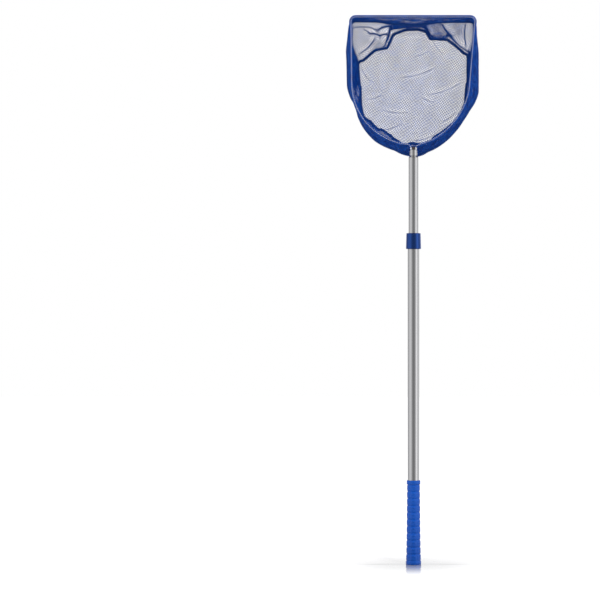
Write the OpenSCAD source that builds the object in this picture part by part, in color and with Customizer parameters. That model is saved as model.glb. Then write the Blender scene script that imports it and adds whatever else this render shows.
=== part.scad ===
// Telescopic leaf skimmer net: a two-section pole with a twist lock inside it,
// a bent wire hoop on top, and a three-panel net bag that hangs behind the hoop.
// The pole stands along +Z and the hoop's mouth faces -Y.
// The origin is the centre of the grip's bottom face. All sizes are in millimetres.

/* [Lower tube] */
// Outer diameter of the lower tube
outer_tube_d = 19; // [18:0.5:22]
// Wall thickness of the lower tube
outer_tube_wall = 1; // [0.8:0.1:1.2]
// Length of the lower tube
outer_tube_len = 519.8; // [480:0.2:560]

/* [Upper tube] */
// Outer diameter of the upper tube
inner_tube_d = 16; // [15.6:0.1:16.2]
// Wall thickness of the upper tube
inner_tube_wall = 0.8; // [0.6:0.1:1]
// Length of the upper tube, neck included
inner_tube_len = 500; // [440:1:540]
// How far the upper tube stands out of the collar, up to its neck
inner_tube_out = 120; // [60:1:200]
// Outer diameter of the swaged neck
neck_d = 12.2; // [12:0.1:13]
// Wall thickness of the swaged neck
neck_wall = 0.7; // [0.5:0.1:0.8]
// Length of the taper from the tube to the neck
neck_taper = 5; // [3:0.5:8]
// Length of the straight neck above the taper
neck_len = 8.4; // [6:0.1:14]

/* [Grip] */
// Length of the grip
grip_len = 134.7; // [110:0.1:160]
// Diameter of the grip's bulges at the top
grip_top_d = 20.8; // [20.6:0.1:24]
// Diameter of the grip's bulges at the bottom
grip_low_d = 24.2; // [23:0.1:28]
// Depth of the grooves between the bulges
grip_groove = 0.5; // [0.2:0.05:0.7]
// Number of bulges
grip_bulges = 11; // [6:1:14]
// Diameter of the rim at the grip's top
grip_rim_d = 21.9; // [21:0.1:25]
// Height of the rim at the grip's top
grip_rim_h = 6.5; // [4:0.1:9]
// Diameter of the foot flange
foot_d = 24.6; // [23.5:0.1:29]
// Height of the foot flange
foot_h = 6; // [4:0.1:9]
// Thickness of the grip's closed bottom
foot_floor = 4; // [3:0.1:6]

/* [End plug] */
// Thickness of the end plug's flange
end_flange = 2; // [1:0.1:3]
// Length of the end plug above its flange
end_plug_len = 12; // [8:0.5:20]

/* [Collar] */
// Length of the collar
collar_len = 25.5; // [20:0.1:32]
// Diameter of the collar at its lower end
collar_low_d = 24.3; // [23:0.1:27]
// Diameter of the collar at its upper end
collar_top_d = 23; // [22:0.1:26]
// Thickness of the lip that closes the collar's top
collar_lip = 2.6; // [1.5:0.1:4]
// Bevel round the collar's two ends
collar_bevel = 1; // [0.4:0.1:1.4]

/* [Guide bush] */
// Length of the bush inside the lower tube
bush_len = 26; // [18:0.5:34]
// Thickness of the bush's flange
bush_flange = 1.3; // [0.8:0.1:2]

/* [Twist lock] */
// Length of the plug inside the upper tube
cam_plug_len = 22; // [14:0.5:30]
// Thickness of the plug's flange
cam_flange = 2; // [1.2:0.1:3]
// Diameter of the eccentric spigot
spigot_d = 8.4; // [7:0.1:9]
// Offset of the spigot from the pole's axis
cam_offset = 1.2; // [0.8:0.1:1.4]
// Height of the wedging ring
ring_h = 14; // [8:0.5:20]
// Width of the slot in the wedging ring
ring_slot = 2; // [1:0.1:3]
// Diameter of the washer
washer_d = 12.4; // [12:0.1:13]
// Thickness of the washer
washer_t = 1; // [0.6:0.1:1.6]
// Diameter of the screw's head
screw_head_d = 6.6; // [5.5:0.1:8]
// Height of the screw's head
screw_head_h = 2.2; // [1.6:0.1:3]
// Diameter of the screw's shank
screw_d = 3.2; // [2.8:0.1:4]
// Length of the screw's shank
screw_len = 18; // [12:0.5:24]

/* [Hoop] */
// Diameter of the wire
wire_d = 3; // [2.6:0.1:3.2]
// Half width of the hoop's left side at the top
hoop_left_top = 100.7; // [90:0.1:112]
// Half width of the hoop's left side where its round part starts
hoop_left = 99.5; // [90:0.1:110]
// Half width of the hoop's right side at the top
hoop_right_top = 98.8; // [90:0.1:112]
// Half width of the hoop's right side where its round part starts
hoop_right = 90.5; // [80:0.1:110]
// Height of the hoop's round part
hoop_round_h = 100; // [85:1:115]
// Height of the hoop's straight sides, corners included
hoop_side_h = 105.5; // [90:0.5:125]
// Radius of the two top corners
hoop_corner_r = 8; // [5:0.5:14]
// Roundness of the left side: 2 is an ellipse, less is straighter
hoop_left_round = 2; // [1.6:0.05:2.2]
// Roundness of the right side: 2 is an ellipse, less is straighter
hoop_right_round = 1.78; // [1.6:0.02:2.2]
// Distance between the centres of the wire's legs
leg_gap = 7; // [6.6:0.1:7.1]
// Radius at which each leg turns into the hoop
leg_bend = 8; // [6:0.5:12]
// Length of the legs below the bend
leg_len = 32; // [20:0.5:40]

/* [Neck plug] */
// How far the neck plug goes down past the legs
neck_plug_below = 4; // [1:0.5:10]
// Height of the plug's tongue, which keeps the legs apart above the neck
tongue_h = 4; // [1:0.5:5]

/* [Net bag] */
// Thickness of the folded binding round the wire
binding_t = 0.7; // [0.4:0.1:1]
// Diameter of the row of thread behind the wire
stitch_d = 1.1; // [0.8:0.1:1.5]
// Thickness of the net panels
net_t = 0.8; // [0.6:0.1:1.2]
// Diameter of the overlocked seams
seam_d = 4.4; // [3:0.1:5]
// Distance from the hoop's plane back to the first seam
band_depth = 27; // [20:0.5:40]
// Distance from the first seam back to the second seam
wall_depth = 59; // [40:0.5:75]
// How far the floor bulges out past the second seam
floor_bulge = 9; // [4:0.5:15]
// How far the bag hangs down at the first seam
rim_sag = 7; // [3:0.5:12]
// How far the top of the bag hangs down at the second seam
floor_top_sag = 27; // [15:0.5:35]
// How far the bottom of the bag hangs down at the second seam
floor_low_sag = 10; // [6:0.5:16]
// How far the bag bulges out of the hoop's outline at the first seam
rim_bulge = 8; // [2:0.5:12]
// Height below the top bar over which the bulge grows
bulge_fade = 45; // [30:1:60]
// How far the bag leans to the right at the first seam
bag_lean = 3.5; // [0:0.5:6]
// How far the bag leans to the right at the second seam
floor_lean = 1.6; // [0:0.1:6]
// Width of the floor panel as a share of the hoop's width
floor_share = 0.905; // [0.85:0.005:0.97]
// Rows of openings from the floor panel's edge to near its middle
floor_opening_rows = 3; // [2:1:4]
// Rows of openings across the wall's depth
wall_opening_rows = 2; // [1:1:3]
// Share of the pitch that an opening takes
opening_share = 0.76; // [0.6:0.01:0.8]
// Diameter of the short seams that close the strips
join_d = 2.2; // [1.5:0.1:3]

/* [Hidden] */

$fn = 64;
press_gap = 0.05;      // between pieces that are pushed or glued together
slide_gap = 0.05;      // between the upper tube and its bush
ring_gap = 0.08;       // between the wedging ring and the lower tube's bore
end_gap = 0.3;         // end play of the wedging ring
cloth_gap = 0.12;      // between pieces that are sewn together
lip_gap = 0.3;         // between the collar's lip and the upper tube
leg_rise = 0.3;        // from the neck's end up to where the legs start to bend
through = 1;           // how far a cutting tool runs past what it cuts

// Lower section, from the bottom up
outer_r = outer_tube_d / 2;
outer_bore = outer_r - outer_tube_wall;
tube_z0 = foot_floor + 2 * press_gap + end_flange;
tube_z1 = tube_z0 + outer_tube_len;
bush_top = tube_z1 + press_gap + bush_flange;
lip_z = bush_top + press_gap;
collar_z1 = lip_z + collar_lip;
collar_z0 = collar_z1 - collar_len;

// Upper section
inner_r = inner_tube_d / 2;
inner_bore = inner_r - inner_tube_wall;
neck_r = neck_d / 2;
neck_bore = neck_r - neck_wall;
taper_z0 = collar_z1 + inner_tube_out;
taper_z1 = taper_z0 + neck_taper;
neck_z1 = taper_z1 + neck_len;
inner_z0 = neck_z1 - inner_tube_len;

// Twist lock, from the upper tube's end down
flange_z0 = inner_z0 - press_gap - cam_flange;
ring_z1 = flange_z0 - end_gap;
ring_z0 = ring_z1 - ring_h;
spigot_z0 = ring_z0 - end_gap;
washer_z0 = spigot_z0 - press_gap - washer_t;
spigot_r = spigot_d / 2;
ring_r = outer_bore - ring_gap;
ring_bore = spigot_r + cam_offset + ring_gap;

// Hoop
wire_r = wire_d / 2;
leg_x = leg_gap / 2;
leg_top = neck_z1 + leg_rise;
hoop_bend_x = leg_x + leg_bend;
// Angle along the round part at which the leg's bend meets it
bend_angle_left = asin(pow(hoop_bend_x / hoop_left, hoop_left_round / 2));
bend_angle_right = asin(pow(hoop_bend_x / hoop_right, hoop_right_round / 2));
bend_z = leg_top + leg_bend;
round_z = bend_z + hoop_round_h * pow(cos(bend_angle_left), 2 / hoop_left_round);
hoop_top = round_z + hoop_side_h;
hoop_low = round_z - hoop_round_h;
leg_z0 = leg_top - leg_len;

// Bag depths, measured back from the hoop's plane
sleeve_r = wire_r + cloth_gap + binding_t;
stitch_y = sleeve_r + cloth_gap + stitch_d / 2;
band_y0 = stitch_y + stitch_d / 2 + cloth_gap;
seam_r = seam_d / 2;
rim_y = band_depth;
floor_y = band_depth + wall_depth;

// How the bag's cross-section changes from the hoop back: its width as a share of
// the hoop's, how far its top and its bottom hang down, how far it bulges and leans
belly_y = floor_y * 0.65;
width_at = [[0, 1], [belly_y, 1], [floor_y, floor_share]];
top_sag_at = [[0, 0], [band_depth, rim_sag], [belly_y, (rim_sag + floor_top_sag) / 2],
    [floor_y, floor_top_sag]];
low_sag_at = [[0, 0], [band_depth, rim_sag], [belly_y, rim_sag], [floor_y, floor_low_sag]];
bulge_at = [[0, 0], [band_depth, rim_bulge], [belly_y, rim_bulge * 0.6], [floor_y, 0]];
lean_at = [[0, 0], [band_depth, bag_lean], [floor_y, floor_lean]];

// Share of the bulge on the left and on the right, by share of the hoop's height
swell_left = [[0, 1], [0.025, 0.7], [0.1, 0.8], [0.22, 0.55], [0.32, 0.5], [0.37, 0.8],
    [0.44, 1.2], [0.78, 1.2]];
swell_right = [[0, 1], [0.015, 0.75], [0.07, 0.45], [0.15, 0.45], [0.24, 0.6], [0.32, 0.85],
    [0.39, 1.1], [0.46, 1.2], [0.54, 1.05], [0.66, 0.8], [0.78, 0.7]];

// How the second seam is looped up and down across the bag's top, and how far it is
// drawn up along the bag's bottom: shares of the two sags, by place across the hoop
drop_at = [[-0.92, 1.26], [-0.7, 0.63], [-0.47, 0.48], [-0.37, -0.33], [-0.14, -0.7],
    [0.1, -0.72], [0.23, -0.56], [0.3, -0.13], [0.61, -0.11], [0.72, 0.22], [0.92, 0.81]];
lift_at = [[-0.9, 0], [-0.75, 0.6], [-0.55, 1.4], [-0.35, 0.9], [-0.1, 0.4], [0.25, 0.3],
    [0.5, 0.6], [0.68, 1.4], [0.8, 1], [0.9, 0]];
// Shares of the hoop's height between which the seam's loops and its lift come in
drop_from = 0.58;
drop_to = 0.77;
lift_to = 0.2;
lift_from = 0.4;

// A point of the hoop's round part: side is -1 or 1, a is 0 at the bottom
function round_point(side, a) =
    let (half = side < 0 ? hoop_left : hoop_right,
         power = 2 / (side < 0 ? hoop_left_round : hoop_right_round))
    [side * half * pow(sin(a), power), round_z - hoop_round_h * pow(cos(a), power)];

// The left or right half of the hoop's outline, from the bottom up to the top bar
arc_steps = 8;
side_steps = 4;
corner_steps = 4;
function half_outline(side, start) =
    let (low = side < 0 ? hoop_left : hoop_right,
         high = side < 0 ? hoop_left_top : hoop_right_top,
         z1 = hoop_top - hoop_corner_r)
    concat(
        [for (i = [0:arc_steps]) round_point(side, start + (90 - start) * i / arc_steps)],
        [for (i = [1:side_steps]) let (s = i / (side_steps + 0.5))
            [side * (low + (high - low) * s), round_z + (z1 - round_z) * s]],
        [for (i = [0:corner_steps]) let (a = 90 * i / corner_steps)
            [side * (high - hoop_corner_r * (1 - cos(a))), z1 + hoop_corner_r * sin(a)]]);

function backwards(list) = [for (i = [len(list) - 1:-1:0]) list[i]];

// Inner points of the top bar, from the left corner to the right one
bar_steps = 9;
bar_points = [for (i = [1:bar_steps - 1])
    let (x0 = hoop_corner_r - hoop_left_top, x1 = hoop_right_top - hoop_corner_r)
    [x0 + (x1 - x0) * i / bar_steps, hoop_top]];

// The hoop's outline as the wire runs, without its legs
wire_outline = concat(half_outline(-1, bend_angle_left), bar_points,
    backwards(half_outline(1, bend_angle_right)));

// The same outline closed across the bottom, for the bag
first_angle = 3;
bag_outline = concat([[0, hoop_low]], half_outline(-1, first_angle + bend_angle_left / 2),
    bar_points, backwards(half_outline(1, first_angle + bend_angle_right / 2)));
ring_count = len(bag_outline);

// Outward normals of the closed outline
normals = [for (i = [0:ring_count - 1])
    let (a = bag_outline[(i + ring_count - 1) % ring_count],
         b = bag_outline[(i + 1) % ring_count],
         t = (b - a) / norm(b - a))
    [-t[1], t[0]]];

// 0 below low, 1 above high, and smooth between them
function ease(v, low, high) =
    let (t = min(1, max(0, (v - low) / (high - low)))) t * t * (3 - 2 * t);

// The bag's cross-section at depth y, moved outwards by out
function section(y, out = 0) =
    let (past_rim = pow(max(0, (y - rim_y) / (floor_y - rim_y)), 1.3))
    [for (i = [0:ring_count - 1])
        let (p = bag_outline[i],
             share = (p[1] - hoop_low) / (hoop_top - hoop_low),
             across = p[0] / hoop_left,
             sag = lookup(y, low_sag_at) * (1 - share) + lookup(y, top_sag_at) * share,
             drop = floor_top_sag * lookup(across, drop_at) * ease(share, drop_from, drop_to),
             lift = floor_low_sag * lookup(across, lift_at) * (1 - ease(share, lift_to, lift_from)),
             fade = min(1, (hoop_top - p[1]) / bulge_fade)
                 * lookup(share, p[0] < 0 ? swell_left : swell_right),
             swell = out + lookup(y, bulge_at) * fade)
        [p[0] * lookup(y, width_at) + lookup(y, lean_at) + normals[i][0] * swell, y,
         p[1] - sag + (lift - drop) * past_rim + normals[i][1] * swell]];

// Two triangles for each cell between ring a and ring b of n points
function cells(a, b, n, closed = true) =
    [for (i = [0:n - (closed ? 1 : 2)]) let (j = (i + 1) % n)
        each [[a * n + i, a * n + j, b * n + j], [a * n + i, b * n + j, b * n + i]]];

// A ring-shaped net panel between the depths in a list
module panel(depths) {
    count = len(depths);
    outside = [for (y = depths) each section(y, net_t / 2)];
    inside = [for (y = backwards(depths)) each section(y, -net_t / 2)];
    polyhedron(points = concat(outside, inside),
        faces = [for (k = [0:2 * count - 1]) each cells(k, (k + 1) % (2 * count), ring_count)]);
}

// Unit vector along a list of points at index i
function along(path, i) =
    let (a = path[max(i - 1, 0)], b = path[min(i + 1, len(path) - 1)])
    (b - a) / norm(b - a);

// A ring of sides points round point i of a flat path in the hoop's plane
function tube_ring(path, i, r, sides) =
    let (t = along(path, i))
    [for (k = [0:sides - 1]) let (a = 360 * (k + 0.5) / sides)
        [path[i][0] - t[1] * r * cos(a), r * sin(a), path[i][1] + t[0] * r * cos(a)]];

// A solid round wire along a flat open path
module wire(path, r, sides) {
    n = len(path);
    points = [for (i = [0:n - 1]) each tube_ring(path, i, r, sides)];
    polyhedron(points = points, faces = concat(
        [for (k = [0:n - 2]) each cells(k, k + 1, sides)],
        [[for (i = [sides - 1:-1:0]) i]],
        [[for (i = [0:sides - 1]) (n - 1) * sides + i]]));
}

// A hollow sleeve along a flat open path
module sleeve(path, r_out, r_in, sides) {
    n = len(path);
    outside = [for (i = [0:n - 1]) each tube_ring(path, i, r_out, sides)];
    inside = [for (i = [n - 1:-1:0]) each tube_ring(path, i, r_in, sides)];
    polyhedron(points = concat(outside, inside),
        faces = [for (k = [0:2 * n - 1]) each cells(k, (k + 1) % (2 * n), sides)]);
}

// A closed cord of radius r that follows the bag's cross-section at depth y
module cord_round_bag(y, r, sides) {
    middle = section(y);
    points = [for (k = [0:sides - 1]) let (a = 360 * (k + 0.5) / sides)
        each [for (i = [0:ring_count - 1])
            middle[i] + [normals[i][0] * r * cos(a), r * sin(a), normals[i][1] * r * cos(a)]]];
    polyhedron(points = points,
        faces = [for (k = [0:sides - 1]) each cells(k, (k + 1) % sides, ring_count)]);
}

// Scalloped outline of the grip's outside, from the foot to the rim
bulge_steps = 6;
bulge_pitch = (grip_len - foot_h - grip_rim_h) / grip_bulges;
function grip_r(z) = let (s = (z - foot_h) / (grip_len - foot_h - grip_rim_h))
    (grip_low_d + (grip_top_d - grip_low_d) * pow(s, 0.7)) / 2
    - grip_groove * (1 - sqrt(abs(sin(180 * (z - foot_h) / bulge_pitch))));
grip_side = [for (i = [0:grip_bulges * bulge_steps])
    let (z = foot_h + bulge_pitch * i / bulge_steps) [grip_r(z), z]];

module handle_grip() {
    edge = 0.8;
    color([0.12, 0.33, 0.74])
    difference() {
        rotate_extrude()
            polygon(concat(
                [[0, 0], [foot_d / 2 - edge, 0], [foot_d / 2, edge], [foot_d / 2, foot_h]],
                grip_side,
                [[grip_rim_d / 2, grip_len - grip_rim_h], [grip_rim_d / 2, grip_len - edge],
                 [grip_rim_d / 2 - edge, grip_len], [0, grip_len]]));
        translate([0, 0, foot_floor])
            cylinder(r = outer_r + press_gap, h = grip_len);
    }
}

module tube_end_plug() {
    color([0.2, 0.2, 0.22])
    union() {
        translate([0, 0, foot_floor + press_gap])
            cylinder(r = outer_r, h = end_flange);
        translate([0, 0, foot_floor + press_gap])
            cylinder(r = outer_bore - press_gap, h = end_flange + end_plug_len);
    }
}

module outer_tube() {
    color([0.78, 0.78, 0.8])
    difference() {
        translate([0, 0, tube_z0])
            cylinder(r = outer_r, h = outer_tube_len);
        translate([0, 0, tube_z0 - through])
            cylinder(r = outer_bore, h = outer_tube_len + 2 * through);
    }
}

module pole_collar() {
    low_r = collar_low_d / 2;
    top_r = collar_top_d / 2;
    color([0.08, 0.19, 0.5])
    rotate_extrude()
        polygon([[outer_r + press_gap, collar_z0], [low_r - collar_bevel, collar_z0],
            [low_r, collar_z0 + collar_bevel], [top_r, collar_z1 - collar_bevel],
            [top_r - collar_bevel, collar_z1], [inner_r + lip_gap, collar_z1],
            [inner_r + lip_gap, lip_z], [outer_r + press_gap, lip_z]]);
}

module guide_bush() {
    color([0.85, 0.85, 0.82])
    difference() {
        union() {
            translate([0, 0, tube_z1 + press_gap])
                cylinder(r = outer_r, h = bush_flange);
            translate([0, 0, tube_z1 - bush_len])
                cylinder(r = outer_bore - press_gap, h = bush_len + bush_flange / 2);
        }
        translate([0, 0, tube_z1 - bush_len - through])
            cylinder(r = inner_r + slide_gap, h = bush_len + bush_flange + 3 * through);
    }
}

module cam_ring() {
    color([0.9, 0.9, 0.88])
    difference() {
        translate([0, 0, ring_z0])
            cylinder(r = ring_r, h = ring_h);
        translate([0, 0, ring_z0 - through])
            cylinder(r = ring_bore, h = ring_h + 2 * through);
        translate([-ring_r - through, -ring_slot / 2, ring_z0 - through])
            cube([ring_r + through, ring_slot, ring_h + 2 * through]);
    }
}

module cam_plug() {
    color([0.16, 0.16, 0.18])
    difference() {
        union() {
            translate([0, 0, flange_z0])
                cylinder(r = inner_r, h = cam_flange);
            translate([0, 0, flange_z0])
                cylinder(r = inner_bore - press_gap, h = cam_flange + cam_plug_len);
            translate([cam_offset, 0, spigot_z0])
                cylinder(r = spigot_r, h = ring_h + 2 * end_gap + cam_flange / 2);
        }
        translate([cam_offset, 0, spigot_z0 - through])
            cylinder(r = screw_d / 2 + press_gap, h = screw_len + 2 * through);
    }
}

module cam_washer() {
    color([0.7, 0.7, 0.72])
    difference() {
        translate([cam_offset, 0, washer_z0])
            cylinder(r = washer_d / 2, h = washer_t);
        translate([cam_offset, 0, washer_z0 - through])
            cylinder(r = screw_d / 2 + press_gap, h = washer_t + 2 * through);
    }
}

module cam_screw() {
    recess_d = screw_head_d * 0.45;
    color([0.75, 0.72, 0.6])
    difference() {
        union() {
            translate([cam_offset, 0, washer_z0 - press_gap - screw_head_h])
                cylinder(r1 = screw_head_d / 2 - screw_head_h / 4, r2 = screw_head_d / 2,
                    h = screw_head_h);
            translate([cam_offset, 0, washer_z0 - press_gap - screw_head_h / 2])
                cylinder(r = screw_d / 2, h = screw_len);
        }
        for (turn = [0, 90])
            translate([cam_offset, 0, washer_z0 - press_gap - screw_head_h])
                rotate([0, 0, turn])
                    cube([recess_d, recess_d / 4, screw_head_h], center = true);
    }
}

module inner_tube() {
    color([0.8, 0.8, 0.82])
    rotate_extrude()
        polygon([[inner_bore, inner_z0], [inner_r, inner_z0], [inner_r, taper_z0],
            [neck_r, taper_z1], [neck_r, neck_z1], [neck_bore, neck_z1],
            [neck_bore, taper_z1], [inner_bore, taper_z0]]);
}

module neck_plug() {
    low = leg_z0 - neck_plug_below;
    color([0.2, 0.18, 0.17])
    difference() {
        rotate_extrude()
            polygon([[0, low], [inner_bore - press_gap, low],
                [inner_bore - press_gap, taper_z0 - press_gap],
                [neck_bore - press_gap, taper_z1 - press_gap],
                [neck_bore - press_gap, neck_z1], [0, neck_z1]]);
        for (side = [-1, 1])
            translate([side * leg_x, 0, leg_z0 - press_gap])
                cylinder(r = wire_r + press_gap, h = leg_len + through);
    }
    tongue_x = leg_x - wire_r - 3 * press_gap;
    color([0.2, 0.18, 0.17])
    translate([-tongue_x, -wire_r * 2, neck_z1 - through])
        cube([2 * tongue_x, wire_r * 4, tongue_h + through]);
}

// The wire's whole path: up the left leg, round the hoop and down the right leg
bend_steps = 6;
function leg_path(side) = concat(
    [for (z = [leg_z0, (leg_z0 + leg_top) / 2]) [side * leg_x, z]],
    [for (i = [0:bend_steps - 1]) let (a = 90 * i / bend_steps)
        [side * (leg_x + leg_bend * (1 - cos(a))), leg_top + leg_bend * sin(a)]]);
wire_path = concat(leg_path(-1), wire_outline, backwards(leg_path(1)));
wire_sides = 8;

module hoop_wire() {
    color([0.8, 0.81, 0.84])
    wire(wire_path, wire_r, wire_sides);
}

module hem_sleeve() {
    color([0.1, 0.24, 0.6])
    sleeve(wire_outline, sleeve_r, wire_r + cloth_gap, wire_sides);
}

module hem_stitch() {
    color([0.05, 0.13, 0.4])
    cord_round_bag(stitch_y, stitch_d / 2, 4);
}

module bag_band() {
    color([0.13, 0.28, 0.66])
    panel([band_y0, (band_y0 + rim_y) / 2, rim_y - seam_r - cloth_gap]);
}

module rim_seam() {
    color([0.05, 0.13, 0.42])
    cord_round_bag(rim_y, seam_r, 6);
}

// Sides of the outline that are long enough to hold an opening
least_side = 9;
function is_long(i) = norm(bag_outline[(i + 1) % ring_count] - bag_outline[i]) > least_side;

// A cross-section with each long side split into a rib and an opening
function split_ring(ring) = [for (i = [0:ring_count - 1]) each is_long(i)
    ? [ring[i], ring[i] * opening_share + ring[(i + 1) % ring_count] * (1 - opening_share)]
    : [ring[i]]];
column_open = [for (i = [0:ring_count - 1]) each is_long(i) ? [false, true] : [false]];
columns = len(column_open);

// The lines between the rows of ribs and openings, from 0 to 1
function row_lines(rows) = concat([0],
    [for (k = [0:rows - 1]) each [(k + (1 - opening_share) / 2) / rows,
        (k + (1 + opening_share) / 2) / rows]], [1]);

// A thin net shell between two stacks of split rings. Every second row is open, and
// a capped shell closes over its last ring
module net_shell(outside, inside, capped = false) {
    rows = len(outside) - 1;
    n = columns;
    base = (rows + 1) * n;
    cell_list = [for (r = [0:rows - 1]) for (c = [0:n - 1]) [r, c, (c + 1) % n]];
    solid = [for (q = cell_list) if (!(column_open[q[1]] && q[0] % 2 == 1)) q];
    open = [for (q = cell_list) if (column_open[q[1]] && q[0] % 2 == 1) q];
    polyhedron(
        points = concat([for (ring = outside) each ring], [for (ring = inside) each ring]),
        faces = concat(
            [for (q = solid) let (a = q[0] * n, b = a + n, c = q[1], d = q[2])
                each [[a + c, a + d, b + d], [a + c, b + d, b + c]]],
            [for (q = solid) let (a = base + q[0] * n, b = a + n, c = q[1], d = q[2])
                each [[a + c, b + d, a + d], [a + c, b + c, b + d]]],
            [for (c = [0:n - 1]) let (d = (c + 1) % n)
                each [[base + c, base + d, d], [base + c, d, c]]],
            [for (q = open) let (a = q[0] * n, b = a + n, c = q[1], d = q[2])
                each [[a + c, a + d, base + a + d], [a + c, base + a + d, base + a + c],
                    [base + b + c, base + b + d, b + d], [base + b + c, b + d, b + c],
                    [b + c, a + c, base + a + c], [b + c, base + a + c, base + b + c],
                    [a + d, b + d, base + b + d], [a + d, base + b + d, base + a + d]]],
            capped
                ? [[for (c = [0:n - 1]) rows * n + c], [for (c = [n - 1:-1:0]) base + rows * n + c]]
                : [for (c = [0:n - 1]) let (a = rows * n, d = (c + 1) % n)
                    each [[a + c, a + d, base + a + d], [a + c, base + a + d, base + a + c]]]));
}

module bag_wall() {
    y0 = rim_y + seam_r + cloth_gap;
    y1 = floor_y - seam_r - cloth_gap;
    depths = [for (t = row_lines(wall_opening_rows)) y0 + (y1 - y0) * t];
    color([0.15, 0.3, 0.68])
    net_shell([for (y = depths) split_ring(section(y, net_t / 2))],
        [for (y = depths) split_ring(section(y, -net_t / 2))]);
}

module floor_seam() {
    color([0.05, 0.13, 0.42])
    cord_round_bag(floor_y, seam_r, 6);
}

// A ring of the floor panel, its size as a share of the whole panel
floor_middle = 0.22;
function floor_ring(share, y_shift) =
    let (edge = section(floor_y, -seam_r - cloth_gap),
         centre = [floor_lean, floor_y, (hoop_top + hoop_low) / 2 - (floor_top_sag + floor_low_sag) / 2])
    [for (p = edge)
        let (q = centre + (p - centre) * share)
        [q[0], floor_y + floor_bulge * (1 - share * share) + y_shift, q[2]]];

module bag_floor() {
    shares = [for (t = row_lines(floor_opening_rows)) 1 - (1 - floor_middle) * t];
    color([0.35, 0.45, 0.75])
    net_shell([for (s = shares) split_ring(floor_ring(s, net_t / 2))],
        [for (s = shares) split_ring(floor_ring(s, -net_t / 2))], capped = true);
}

// Point of the outline, just right of the pole, where the strips are joined
join_index = ring_count - 2;
module join_seam(y0, y1) {
    out = net_t / 2 + cloth_gap + join_d / 2;
    hull()
        for (y = [y0 + join_d / 2, y1 - join_d / 2])
            translate(section(y, out)[join_index])
                sphere(d = join_d, $fn = 12);
}

module band_join_seam() {
    color([0.05, 0.13, 0.42])
    join_seam(band_y0, rim_y - seam_r - cloth_gap);
}

module wall_join_seam() {
    color([0.05, 0.13, 0.42])
    join_seam(rim_y + seam_r + cloth_gap, belly_y);
}

handle_grip();
tube_end_plug();
outer_tube();
pole_collar();
guide_bush();
cam_ring();
cam_plug();
cam_washer();
cam_screw();
inner_tube();
neck_plug();
hoop_wire();
hem_sleeve();
hem_stitch();
bag_band();
rim_seam();
bag_wall();
floor_seam();
bag_floor();
band_join_seam();
wall_join_seam();
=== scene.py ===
import math

import bmesh
import bpy
import numpy as np
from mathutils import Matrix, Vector, noise
from mathutils.bvhtree import BVHTree
from mathutils.geometry import barycentric_transform, delaunay_2d_cdt


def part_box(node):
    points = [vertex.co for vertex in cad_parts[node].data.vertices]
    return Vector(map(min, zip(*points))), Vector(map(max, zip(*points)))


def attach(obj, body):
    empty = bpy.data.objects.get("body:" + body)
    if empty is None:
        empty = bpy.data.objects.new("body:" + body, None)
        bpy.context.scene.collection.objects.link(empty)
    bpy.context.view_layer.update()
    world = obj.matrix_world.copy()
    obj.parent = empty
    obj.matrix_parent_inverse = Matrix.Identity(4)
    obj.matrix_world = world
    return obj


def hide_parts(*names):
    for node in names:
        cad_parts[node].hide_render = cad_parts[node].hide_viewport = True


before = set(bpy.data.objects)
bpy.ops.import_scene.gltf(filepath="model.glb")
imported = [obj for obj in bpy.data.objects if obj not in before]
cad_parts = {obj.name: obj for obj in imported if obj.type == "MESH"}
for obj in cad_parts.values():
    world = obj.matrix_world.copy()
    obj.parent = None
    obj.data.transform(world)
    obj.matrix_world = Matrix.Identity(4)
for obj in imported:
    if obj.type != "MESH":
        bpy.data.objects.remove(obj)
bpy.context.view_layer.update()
MM = 0.001

# ---------------------------------------------------------------- sizes
# The hoop, as its wire is bent
WIRE_R = 1.5 * MM
LEG_X = 3.5 * MM
LEG_BEND = 8 * MM
# Its half width at mid height and at the top, and how round its lower part is, by side
HOOP = {-1: (99.5 * MM, 100.7 * MM, 2.0), 1: (90.5 * MM, 98.8 * MM, 1.78)}
HOOP_ROUND_H = 100 * MM
HOOP_SIDE_H = 105.5 * MM
HOOP_CORNER_R = 8 * MM

# The bag, measured back from the hoop's plane
SLEEVE_R = 2.3 * MM
HEM_Y = 3.0 * MM
RIM_Y = 27 * MM
FLOOR_Y = 86 * MM
BELLY_Y = 0.65 * FLOOR_Y
SEAM_R = 2.1 * MM
BULGE_FADE = 45 * MM
WIDTH_AT = ((0, 1), (BELLY_Y, 1), (FLOOR_Y, 0.905))
TOP_SAG, LOW_SAG = 27 * MM, 10 * MM
TOP_SAG_AT = ((0, 0), (RIM_Y, 7 * MM), (BELLY_Y, 17 * MM), (FLOOR_Y, TOP_SAG))
LOW_SAG_AT = ((0, 0), (RIM_Y, 7 * MM), (BELLY_Y, 7 * MM), (FLOOR_Y, LOW_SAG))
BULGE_AT = ((0, 0), (RIM_Y, 8 * MM), (BELLY_Y, 4.8 * MM), (FLOOR_Y, 0))
LEAN_AT = ((0, 0), (RIM_Y, 3.5 * MM), (FLOOR_Y, 3.2 * MM))
FLOOR_BULGE = 7 * MM
# Share of the bulge on the left and on the right, by share of the hoop's height
SWELL_LEFT = ((0, 1), (0.025, 0.5), (0.1, 0.7), (0.22, 0.45), (0.32, 0.1), (0.37, 0.1), (0.42, 0.6),
              (0.5, 1.2), (0.78, 1.2))
SWELL_RIGHT = ((0, 1), (0.015, 0.5), (0.07, 0.35), (0.15, 0.2), (0.24, 0.15), (0.32, 0.35),
               (0.39, 0.85), (0.46, 1.2), (0.54, 1.05), (0.66, 0.75), (0.78, 0.6))
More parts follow.
